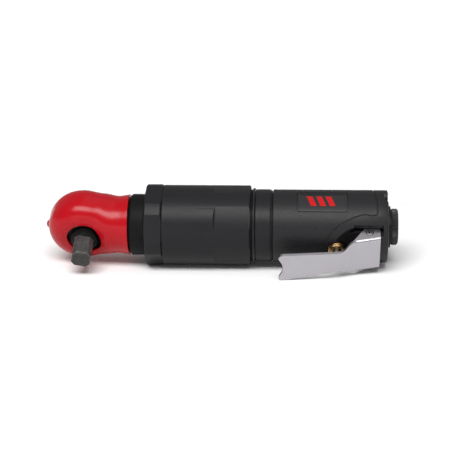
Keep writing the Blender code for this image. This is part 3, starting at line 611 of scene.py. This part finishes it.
CASE_R = 19.9
CASE_FLAT = 18.94
CASE_CLOCK = radians(8.9)
case_front, case_rear = 39.25, span("hammer_case")[1]
FLAT_START = 64.4
case = lathe(
    [(33.9, 17.0), (case_front, 17.0), (case_front, CASE_R - 0.35), (case_front + 0.35, CASE_R),
     (case_rear - 0.8, CASE_R)]
    + arc((case_rear - 0.8, CASE_R - 0.8), 0.8, 90, 0, 5)[1:]
    + [(case_rear, 17.2), (75.7, 17.2), (75.7, 16.5), (46.0, 16.5), (46.0, 14.3), (33.9, 14.3)],
    180,
)
case = cut(case, flat_cutters(CASE_FLAT, CASE_CLOCK, FLAT_START, case_rear + 3, 1.9))
piece("hammer_case_body", case, "housing", BLACK, ["hammer_case"], edge=0.12)

# ---- Coupling ring and its seal ------------------------------------------------------------------
# A threaded steel ring joins the hammer case to the grip. A thin lip in front of it holds a rubber
# O-ring, which stands a little proud and seals the joint.

ring_front, ring_rear = span("coupling_ring")
RING_R = 18.05
ring = lathe(
    [
        (ring_front, 16.9), (82.95, 16.9), (82.95, 17.95), (83.25, 17.95), (83.25, 16.9),
        (85.3, 16.9), (85.3, RING_R), (92.45, RING_R), (92.6, 17.8), (92.9, 17.75), (93.1, 17.4),
        (93.45, 17.4), (93.45, 16.2), (ring_rear, 16.2), (ring_rear, 14.5), (ring_front, 14.5),
    ],
    180,
)
piece("coupling_ring_body", ring, "housing", BLACK, ["coupling_ring"], edge=0.12)
RUBBER = finish("seal_rubber_skin", (0.008, 0.008, 0.009), (0.014, 0.014, 0.015), 0.0,
                (0.30, 0.42), 700.0, 0.006, specular=0.2)
seal = lathe(arc((84.3, 17.95), 0.74, 0, 345, 23), 180)
piece("case_seal", seal, "housing", RUBBER, ["case_o_ring"])

# ---- Motor housing -------------------------------------------------------------------------------
# A fine-grained black grip, moulded over the motor's sleeve. It has a recess for the badge, a
# moulded groove that bounds the rear block, two pockets for the lever's ears, a spot-faced seat
# for the valve, and an exhaust slot over the inlet.

GRIP_R = 18.0
grip_front, grip_rear = span("motor_housing")
PIVOT = (141.1, -15.5)
PIN_HOLE_R = 1.9
VALVE_X = 125.2
INLET_DROP = -0.3
GRIP_SKIN = finish("grip_skin", (0.007, 0.0065, 0.0075), (0.017, 0.016, 0.018), 0.0,
                   (0.40, 0.54), 1500.0, 0.05, clouds=700.0, specular=0.24)
grip = lathe(
    [
        (grip_front, 16.5), (grip_front, GRIP_R - 0.35), (grip_front + 0.35, GRIP_R),
        (grip_rear - 0.7, GRIP_R), (grip_rear - 0.2, GRIP_R - 0.2), (grip_rear, GRIP_R - 0.7),
        (grip_rear, 0.0), (120.1, 0.0), (120.1, 16.5),
    ],
    180,
)


def ring_sector(low, high, inner, outer, clock, half_angle, steps=24):
    """Part of a tube round the barrel, centred on an angle from the drive, the +Y side positive."""
    shape = bmesh.new()
    corners = [(low, inner), (low, outer), (high, outer), (high, inner)]
    start = clock - half_angle
    points = [
        shape.verts.new((x * MM, r * MM * sin(start), -r * MM * cos(start))) for x, r in corners
    ]
    face = shape.faces.new(points)
    bmesh.ops.spin(
        shape, geom=[face], cent=(0, 0, 0), axis=(1, 0, 0), dvec=(0, 0, 0),
        angle=2 * half_angle, steps=steps,
    )
    bmesh.ops.remove_doubles(shape, verts=shape.verts, dist=WELD)
    bmesh.ops.holes_fill(shape, edges=shape.edges)
    bmesh.ops.recalc_face_normals(shape, faces=shape.faces)
    return shape


def prism(outline, low, high, axis):
    """A flat outline drawn out between two distances along the tool's Y or Z axis."""
    shape = bmesh.new()
    if axis == "Z":
        points = [shape.verts.new((u * MM, v * MM, low * MM)) for u, v in outline]
    else:
        points = [shape.verts.new((u * MM, low * MM, v * MM)) for u, v in outline]
    face = shape.faces.new(points)
    grown = bmesh.ops.extrude_face_region(shape, geom=[face])
    moved = [e for e in grown["geom"] if isinstance(e, bmesh.types.BMVert)]
    way = Vector((0, 0, 1)) if axis == "Z" else Vector((0, 1, 0))
    bmesh.ops.translate(shape, verts=moved, vec=way * (high - low) * MM)
    bmesh.ops.recalc_face_normals(shape, faces=shape.faces)
    return shape


def badge_blank(low, high, inner, outer, half, corner):
    """A curved rectangle at the badge's place, its corners rounded as they are seen from outside."""
    shape = ring_sector(low, high, inner, outer, BADGE_CLOCK, radians(30))
    outline = []
    for x, y, start in ((high, half, 0), (low, half, 90), (low, -half, 180), (high, -half, 270)):
        middle = (x - corner if x == high else x + corner, y - corner if y > 0 else y + corner)
        outline += arc(middle, corner, start, start + 90, 6)
    die = prism(outline, -30.0, 0.0, "Z")
    die_turn = Matrix.Rotation(BADGE_CLOCK, 3, "X")
    bmesh.ops.rotate(die, verts=die.verts, cent=(0, 0, 0), matrix=die_turn)
    return cut(shape, [die], "INTERSECT")


BADGE_CLOCK = radians(-86.0)
BADGE_HALF = 6.7
badge_front, badge_rear = span("badge_plate")
recess = badge_blank(badge_front - 0.4, badge_rear + 0.4, 17.25, 20.0, BADGE_HALF, 1.6)
cuts = [recess]
for side in (-1, 1):
    near, far = sorted((8.2 * side, 21.0 * side))
    inner, outer = sorted((8.15 * side, 10.5 * side))
    cuts.append(bar((133.4, near, -21), (147.9, far, -13.0)))
    cuts.append(bar((131.6, inner, -21), (147.6, outer, -10.6)))
cuts.append(drum(135.5, grip_rear + 2, 8.1, centre=(0.0, INLET_DROP)))
cuts.append(drum(-26.0, -17.2, 6.2, "Z", (VALVE_X, 0.0)))
cuts.append(drum(-26.0, -6.0, 4.6, "Z", (VALVE_X, 0.0)))
cuts.append(drum(-12.0, 12.0, PIN_HOLE_R, "Y", PIVOT, 48))
cuts.append(ring_sector(134.5, grip_rear + 2, 10.8, 14.8, pi, radians(35)))
for near, far in ((-21.0, -13.5), (13.5, 21.0)):
    cuts.append(drum(near, far, 5.0, "Y", (grip_rear + 3.0, 2.2)))


def groove(points, radius):
    """A ball-nosed groove that runs round the grip through (station, angle from the drive) points."""
    path = []
    for a, b in zip(points, points[1:]):
        path.extend(
            (a[0] + (b[0] - a[0]) * i / 6, radians(a[1] + (b[1] - a[1]) * i / 6)) for i in range(6)
        )
    path = [
        tuple((path[i - 1][k] + 2 * path[i][k] + path[(i + 1) % len(path)][k]) / 4 for k in (0, 1))
        if 0 < i < len(path) - 1 else path[i]
        for i in range(len(path))
    ]
    spots = [Vector((x, (GRIP_R + 0.1) * sin(a), -(GRIP_R + 0.1) * cos(a))) * MM for x, a in path]
    curve = bpy.data.curves.new("groove", "CURVE")
    curve.dimensions = "3D"
    curve.bevel_depth = radius * MM
    curve.bevel_resolution = 2
    line = curve.splines.new("POLY")
    line.points.add(len(spots) - 1)
    line.use_cyclic_u = True
    for point, spot in zip(line.points, spots):
        point.co = (*spot, 1.0)
    guide = bpy.data.objects.new("groove", curve)
    bpy.context.scene.collection.objects.link(guide)
    bpy.context.view_layer.update()
    drawn = guide.evaluated_get(bpy.context.evaluated_depsgraph_get())
    mesh = bpy.data.meshes.new_from_object(drawn)
    bpy.data.objects.remove(guide)
    shape = bmesh.new()
    shape.from_mesh(mesh)
    bmesh.ops.remove_doubles(shape, verts=shape.verts, dist=WELD)
    bmesh.ops.recalc_face_normals(shape, faces=shape.faces)
    return shape


near_side = [(143.2, -180), (143.2, -123), (145.1, -66), (144.6, -60), (141.5, -58.6), (139.0, -61),
             (134.2, -57), (126.7, -45), (122.2, -30.5), (119.2, -15), (118.4, 0)]
far_side = [(x, -a) for x, a in reversed(near_side[:-1])]
cuts.append(groove(near_side + far_side, 0.42))

# the hollow under the lever, its front wall a long curve, and the boss between the lever's ears
# that carries the pivot
wall = flowing([(117.9, -22.0), (120.4, -19.6), (123.9, -17.4), (127.9, -15.5), (131.8, -14.1),
                (135.4, -13.5), (137.2, -13.45)], 6)
cuts.insert(0, prism(wall + [(137.2, -22.0)], -21.0, 21.0, "Y"))
lug = [
    bar((PIVOT[0] - 2.95, -8.0, PIVOT[1]), (PIVOT[0] + 2.95, 8.0, -12.6)),
    drum(-8.0, 8.0, 3.0, "Y", PIVOT, 64),
]
grip = cut(cut(cut(grip, cuts[:1]), lug, "UNION"), cuts[1:])
piece("grip_body", grip, "housing", GRIP_SKIN, ["motor_housing"], edge=0.22)

# ---- Badge ---------------------------------------------------------------------------------------
# A thin plate set in the recess, with a raised rim and a plain red mark of three slanting bars.

BADGE_SKIN = finish("badge_skin", (0.018, 0.018, 0.019), (0.026, 0.026, 0.028), 0.0,
                    (0.30, 0.42), 1200.0, 0.01, specular=0.2)
BADGE_RED = finish("badge_red", (0.42, 0.004, 0.006), (0.50, 0.006, 0.008), 0.0,
                   (0.30, 0.40), 1200.0, 0.01, specular=0.2)
MARK_PITCH = 4.6
MARK_SLANT = 6.0
badge_out = Vector((sin(BADGE_CLOCK), -cos(BADGE_CLOCK)))
plate = badge_blank(badge_front, badge_rear, 17.45, 17.62, BADGE_HALF - 0.4, 1.3)
piece("badge_face", plate, "housing", BADGE_SKIN, ["badge_plate"], edge=0.05)
rim = badge_blank(badge_front, badge_rear, 17.45, 17.9, BADGE_HALF - 0.4, 1.3)
rim = cut(rim, [badge_blank(badge_front + 0.9, badge_rear - 0.9, 17.0, 18.5, BADGE_HALF - 1.3, 0.8)])
piece("badge_rim", rim, "housing", BADGE_SKIN, edge=0.08)
for i in range(3):
    low, high = badge_front + 5.4 + MARK_PITCH * i, badge_front + 8.2 + MARK_PITCH * i
    mark = ring_sector(low, high, 17.6, 17.78, BADGE_CLOCK, radians(10.5), 12)
    for vertex in mark.verts:
        turned = Vector((vertex.co.y, vertex.co.z)).angle_signed(badge_out)
        vertex.co.x += turned * MARK_SLANT * MM
    piece("badge_mark_" + str(i + 1), mark, "housing", BADGE_RED, edge=0.04)

# ---- Valve ---------------------------------------------------------------------------------------
# A turned brass bushing pressed into the grip under the lever, with a groove round its collar, and
# the steel stem that the lever pushes.

BRASS = finish("turned_brass", (0.44, 0.27, 0.12), (0.56, 0.37, 0.19), 1.0, (0.20, 0.32), 500.0, 0.003)
STEEL = finish("ground_steel", (0.40, 0.40, 0.41), (0.52, 0.52, 0.53), 1.0, (0.26, 0.40), 700.0, 0.004)
bushing = lathe(
    [
        (-18.8, 2.2), (-18.8, 3.8), (-18.4, 4.3), (-18.0, 4.3), (-17.8, 3.9), (-17.5, 3.9),
        (-17.3, 4.3), (-6.2, 4.3), (-6.2, 2.2),
    ],
    72, "Z", (VALVE_X, 0.0),
)
piece("valve_bushing_body", bushing, "housing", BRASS, ["valve_bushing"], edge=0.08)
stem = lathe(
    [
        (-24.7, 0.0), (-24.65, 0.8), (-24.4, 1.4), (-23.9, 1.9), (-12.0, 1.9), (-12.0, 1.4),
        (-5.0, 1.4), (-5.0, 3.8), (-4.0, 3.8), (-3.2, 1.4), (-1.2, 1.4), (-1.2, 0.0),
    ],
    48, "Z", (VALVE_X, 0.0), closed=False,
)
piece("valve_stem_body", stem, "valve", STEEL, ["valve_stem"], edge=0.08)

# ---- Throttle lever ------------------------------------------------------------------------------
# Stamped from 1.5 mm steel sheet, bent and satin nickel plated: a long paddle with a bitten front
# edge and a waist, a joggle, and a rear saddle whose two ears hang on the pivot pin, a rolled
# spring pin with a slit along it.

SHEET = 1.5
SADDLE_FRONT = (132.6, -23.2)
lever_front, lever_rear = span("throttle_lever")
NICKEL = finish("satin_nickel", (0.40, 0.385, 0.41), (0.45, 0.435, 0.46), 1.0,
                (0.26, 0.34), 260.0, 0.0003, clouds=30.0)
skin_line = flowing([(lever_front - 0.2, -31.0), (106.0, -29.7), (118.0, -27.8), (126.2, -26.4),
                     (128.4, -25.55), (130.6, -24.2), SADDLE_FRONT, (135.0, -22.65),
                     (lever_rear + 0.2, -20.1)], 4)
under_line = [(x, z + SHEET) for x, z in skin_line]
paddle = prism(skin_line + under_line[::-1], -11.0, 11.0, "Y")
edge_line = flowing([(lever_front + 2.0, 0.0), (lever_front + 1.7, 2.2), (lever_front + 0.7, 4.6),
                     (lever_front, 6.2), (lever_front + 0.5, 7.6), (lever_front + 2.2, 8.1),
                     (104.0, 7.75), (112.0, 7.2), (122.0, 6.3), (126.6, 6.0), (128.8, 6.8),
                     (131.0, 8.9), (132.9, 10.0)], 4)
plan = edge_line + [(134.5, 10.0)]
plan += [(x, -y) for x, y in reversed(plan) if y > 0.0]
paddle = cut(paddle, [prism(plan, -40.0, 0.0, "Z")], "INTERSECT")

# the saddle is a channel with 2.1 mm bends, set to the slope of the sheet and trimmed to its side view
FOLD = 2.1
channel_half = (
    [(0.0, 0.0)] + arc((10.0 - FOLD, FOLD), FOLD, -90, 0, 8)
    + [(10.0, 12.0), (10.0 - SHEET + 0.1, 12.0)]
    + arc((10.0 - FOLD, FOLD), FOLD - SHEET + 0.1, 0, -90, 6) + [(0.0, SHEET)]
)
slope = Vector((lever_rear - SADDLE_FRONT[0], 3.1)).normalized()
saddle = bmesh.new()
for side in (-1, 1):
    points = []
    for y, h in channel_half:
        x, z = SADDLE_FRONT[0] - slope.y * h, SADDLE_FRONT[1] + slope.x * h
        points.append(saddle.verts.new((x * MM, side * y * MM, z * MM)))
    saddle.faces.new(points)
bmesh.ops.remove_doubles(saddle, verts=saddle.verts, dist=WELD)
grown = bmesh.ops.extrude_face_region(saddle, geom=saddle.faces[:])
moved = [e for e in grown["geom"] if isinstance(e, bmesh.types.BMVert)]
bmesh.ops.translate(saddle, verts=moved, vec=Vector((slope.x, 0.0, slope.y)) * 20 * MM)
bmesh.ops.recalc_face_normals(saddle, faces=saddle.faces)
side_view = (
    [(132.7, -24.2), (132.7, -22.2), (137.4, -14.6)] + arc((139.6, -13.6), 1.3, 160, 90, 4)
    + arc((144.2, -14.3), 2.0, 90, 0, 6) + [(lever_rear, -21.5)]
)
saddle = cut(saddle, [prism(side_view, -12.0, 12.0, "Y")], "INTERSECT")
lever = cut(paddle, [saddle], "UNION")
lever = cut(lever, [drum(-12.0, 12.0, PIN_HOLE_R, "Y", PIVOT, 48)])
piece("lever_sheet", lever, "lever", NICKEL, ["throttle_lever"], edge=0.3, segments=3)

pin = lathe(
    [(-10.2, 0.95), (-10.2, 1.25), (-9.8, 1.6), (9.8, 1.6), (10.2, 1.25), (10.2, 0.95)],
    48, "Y", PIVOT,
)
pin = cut(pin, [bar((PIVOT[0] - 0.22, -11, PIVOT[1]), (PIVOT[0] + 0.22, 11, PIVOT[1] + 2))])
piece("lever_pin_body", pin, "housing", STEEL, ["lever_pin"], edge=0.08)

# ---- Inlet ---------------------------------------------------------------------------------------
# A blackened steel bushing screwed into the grip: straight-knurled flange, chamfered mouth, and a
# taper pipe thread inside. It clamps a black deflector ring beside the exhaust slot.

INLET_R = 9.0
RIBS = 72
RIB_DEPTH = 0.055
THREAD_PITCH = 1.41
inlet_front, inlet_rear = span("inlet_bushing")
boss_front, boss_rear = span("exhaust_deflector")
boss = lathe([(boss_front, 8.2), (boss_front, 10.35), (boss_rear, 10.35), (boss_rear, 8.2)], 96,
             centre=(0.0, INLET_DROP))
piece("exhaust_ring", boss, "housing", BLACK, ["exhaust_deflector"], edge=0.25)
thread = []
for i in range(9):
    station = inlet_rear - 1.0 - THREAD_PITCH * i
    crest = 6.25 - 0.03 * i
    thread += [(station, crest + 0.35), (station - 0.7, crest - 0.35)]
flange_front = boss_rear + 0.25
bushing = lathe(
    [(inlet_front, 4.2), (inlet_front, 7.8), (flange_front, 7.8), (flange_front, INLET_R - 0.5)]
    + [(flange_front + 0.5, INLET_R), (inlet_rear - 0.7, INLET_R), (inlet_rear, INLET_R - 0.7),
       (inlet_rear, 6.9)]
    + thread + [(140.0, 5.8), (140.0, 4.2)],
    6 * RIBS,
)
for vertex in bushing.verts:
    reach = hypot(vertex.co.y, vertex.co.z)
    if reach > (INLET_R - 0.1) * MM:
        turn = Vector((vertex.co.y, vertex.co.z)).angle_signed(Vector((1.0, 0.0))) * RIBS
        shrink = 1.0 - RIB_DEPTH * (0.5 - 0.5 * cos(turn))
        vertex.co.y *= shrink
        vertex.co.z *= shrink
bmesh.ops.translate(bushing, verts=bushing.verts, vec=(0.0, 0.0, INLET_DROP * MM))
PLATED = finish("blackened_steel", (0.026, 0.026, 0.027), (0.042, 0.042, 0.044), 0.2,
                (0.34, 0.48), 600.0, 0.006, specular=0.3)
piece("inlet_bushing_body", bushing, "housing", PLATED, ["inlet_bushing"])

# ---- Inner works ---------------------------------------------------------------------------------
# The pieces inside keep their machined shapes and take a finish each: ground and polished steels,
# cast end plates, resin vanes, rubber, brass and felt.

ALLOY = finish("cast_end_plate", (0.30, 0.31, 0.32), (0.40, 0.41, 0.42), 1.0, (0.42, 0.60), 300.0, 0.02)
RESIN = finish("vane_resin", (0.11, 0.045, 0.02), (0.18, 0.08, 0.035), 0.0, (0.50, 0.70), 350.0, 0.02)
FELT = finish("pressed_felt", (0.26, 0.245, 0.22), (0.42, 0.40, 0.36), 0.0, (0.90, 1.0), 500.0, 0.15)
slot_finish = {
    "plain_steel": STEEL, "bearing_steel": BALL, "end_plate_alloy": ALLOY, "vane_composite": RESIN,
    "muffler_felt": FELT, "seal_rubber": RUBBER, "brass": BRASS, "black_oxide": OXIDE,
}
for entry in frame["record"]["subparts"]:
    node = frame["nodes"][entry["node"]]
    if entry["material_slot"] in slot_finish and not node.hide_render:
        node.data.materials.clear()
        node.data.materials.append(slot_finish[entry["material_slot"]])

depsgraph = bpy.context.evaluated_depsgraph_get()
corners = []
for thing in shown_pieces():
    shown = thing.evaluated_get(depsgraph)
    corners += [shown.matrix_world @ Vector(corner) for corner in shown.bound_box]
